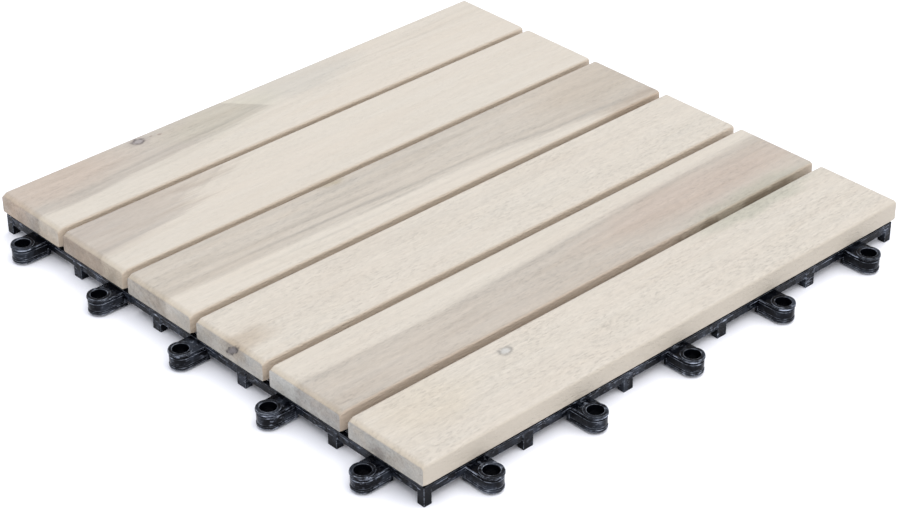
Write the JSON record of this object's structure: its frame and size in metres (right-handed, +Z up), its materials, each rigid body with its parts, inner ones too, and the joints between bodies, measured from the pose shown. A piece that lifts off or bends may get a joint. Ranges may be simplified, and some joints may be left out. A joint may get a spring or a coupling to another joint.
{
  "type": "interlocking deck tile",
  "caption": "Square outdoor deck tile: rounded whitewashed timber slats screwed to a black moulded grid with clip rings on two sides and matching pegs on the others.",
  "frame": {"origin": "centre of the tile at floor level, on the middle foot of the grid", "axes": "+Z up, +Y along the slats with the ring row at -Y, +X across the slats with the ring row at +X"},
  "size_m": [0.309, 0.3129, 0.0215],
  "materials": {
    "plastic": "moulded, satin",
    "wood_1": "whitewashed softwood, planed",
    "wood_2": "whitewashed softwood, planed",
    "wood_3": "whitewashed softwood, planed",
    "wood_4": "whitewashed softwood, planed",
    "wood_5": "whitewashed softwood, planed",
    "wood_6": "whitewashed softwood, planed",
    "screw_steel": "zinc plated"
  },
  "bodies": {
    "root": {"base_grid": "plastic", "slat_1": "wood_1", "slat_2": "wood_2", "slat_3": "wood_3", "slat_4": "wood_4", "slat_5": "wood_5", "slat_6": "wood_6"}
  },
  "joints": []
}
